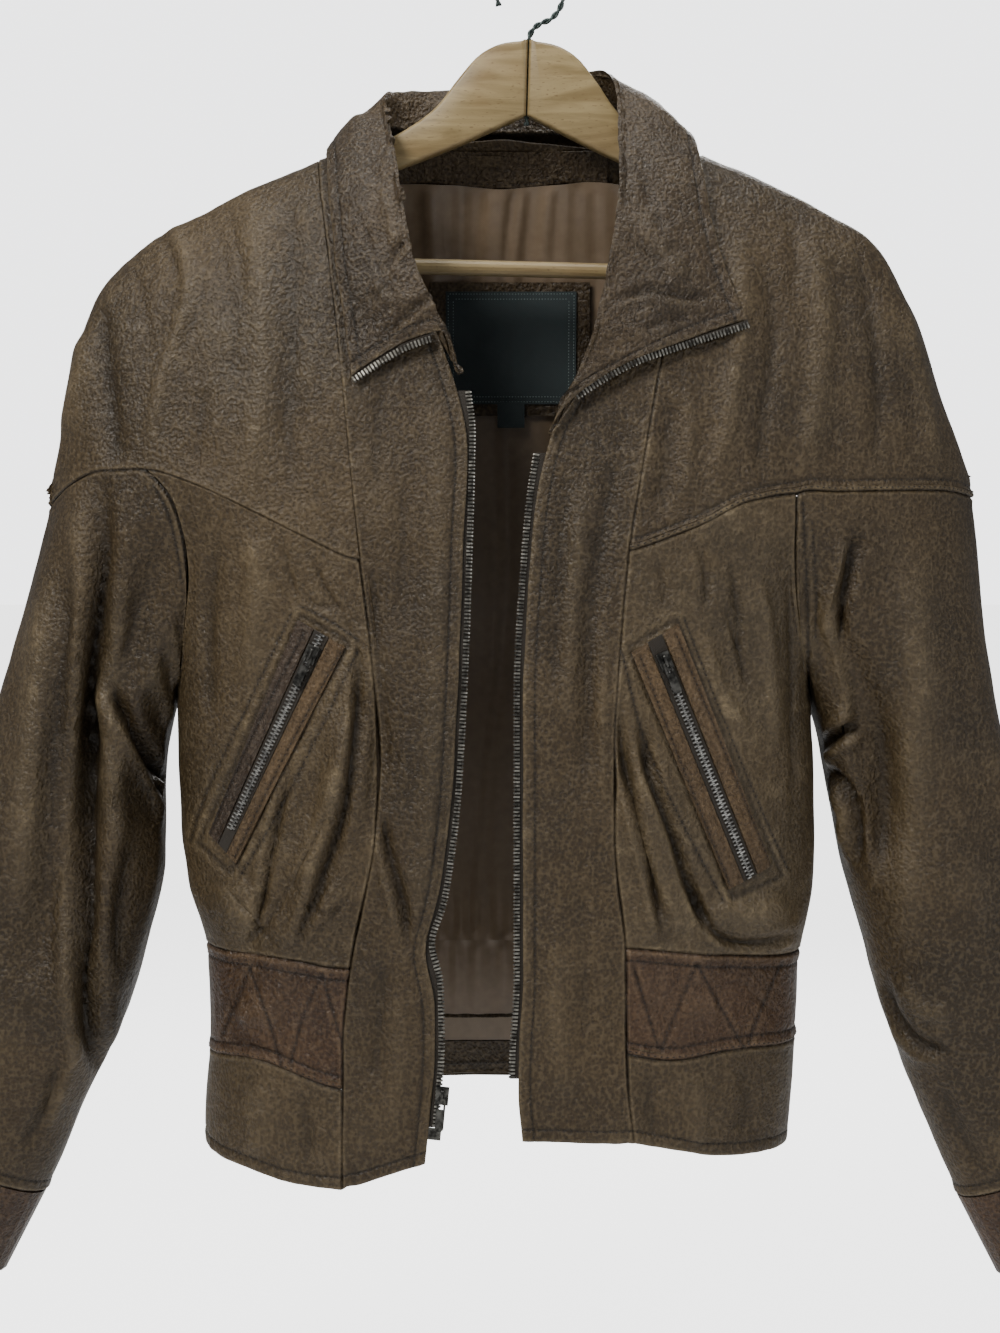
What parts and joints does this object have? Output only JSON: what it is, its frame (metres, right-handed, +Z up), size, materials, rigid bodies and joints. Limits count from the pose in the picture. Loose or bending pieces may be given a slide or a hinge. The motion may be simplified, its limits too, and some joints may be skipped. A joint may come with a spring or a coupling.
{
  "type": "worn leather jacket on wooden hanger",
  "caption": "Worn leather zip jacket with its front open, shoulder yokes, slanted zip pockets and a banded waist, hanging on a wooden hanger with a wire hook",
  "frame": {"origin": "The point inside the top of the hanger's hook where it hangs on a rod or nail. The jacket hangs below it.", "axes": "+Z up, the jacket's front faces -Y, and +X is the wearer's left, which is the right of the picture"},
  "size_m": [0.837, 0.1801, 0.8627],
  "materials": {
    "leather": "olive brown smooth hide, rubbed pale along the raised folds and seams",
    "collar_leather": "darker brown crinkled hide",
    "band_leather": "reddish dark brown hide with rows of stitching",
    "welt_leather": "tan hide, scuffed dark",
    "satin": "taupe brown satin lining",
    "label_cloth": "dark teal woven label cloth, left plain",
    "tape_cloth": "dark woven zip tape",
    "wood": "light beech with a worn clear finish",
    "zip_metal": "dull dark grey zip metal",
    "wire": "dark grey green wire"
  },
  "bodies": {
    "jacket": {"back": "leather", "collar": "collar_leather", "cuff_l": "band_leather", "cuff_r": "band_leather", "front_center_l": "leather", "front_center_r": "leather", "front_side_l": "leather", "front_side_r": "leather", "hanger_arm_l": "wood", "hanger_arm_r": "wood", "hanger_bar": "wood", "hanger_hook": "wire", "hanger_loop": "leather", "hem_back": "leather", "hem_facing": "leather", "hem_l": "leather", "hem_r": "leather", "label": "label_cloth", "label_patch": "collar_leather", "lining_back": "satin", "lining_lower": "satin", "neck_facing": "collar_leather", "pocket_l_slider": "zip_metal", "pocket_l_tape": "tape_cloth", "pocket_l_welt_in": "welt_leather", "pocket_l_welt_out": "welt_leather", "pocket_r_slider": "zip_metal", "pocket_r_tape": "tape_cloth", "pocket_r_welt_in": "welt_leather", "pocket_r_welt_out": "welt_leather", "size_tab": "label_cloth", "sleeve_l": "leather", "sleeve_r": "leather", "waistband_back": "band_leather", "waistband_l": "band_leather", "waistband_r": "band_leather", "yoke_back": "leather", "yoke_l": "leather", "yoke_r": "leather", "zip_box": "zip_metal", "zip_collar_l": "tape_cloth", "zip_collar_r": "tape_cloth", "zip_slider": "zip_metal", "zip_tape_l": "tape_cloth", "zip_tape_r": "tape_cloth"},
    "pocket_tab_r": {"pocket_r_pull": "zip_metal"},
    "pocket_tab_l": {"pocket_l_pull": "zip_metal"},
    "zip_tab": {"zip_pull": "zip_metal"}
  },
  "joints": [
    {"name": "pocket_tab_r_swing", "type": "hinge", "parent": "jacket", "child": "pocket_tab_r", "pos_m": [-0.13798, -0.07469, -0.45074], "axis": [-0.8852, 0.1588, 0.4372], "range_deg": [0, 150]},
    {"name": "pocket_tab_l_swing", "type": "hinge", "parent": "jacket", "child": "pocket_tab_l", "pos_m": [0.08266, -0.07685, -0.45489], "axis": [-0.9125, -0.1432, -0.3831], "range_deg": [0, 150]},
    {"name": "zip_tab_swing", "type": "hinge", "parent": "jacket", "child": "zip_tab", "pos_m": [-0.05595, -0.07728, -0.72355], "axis": [-0.9945, 0.0537, 0.0894], "range_deg": [0, 150]}
  ]
}
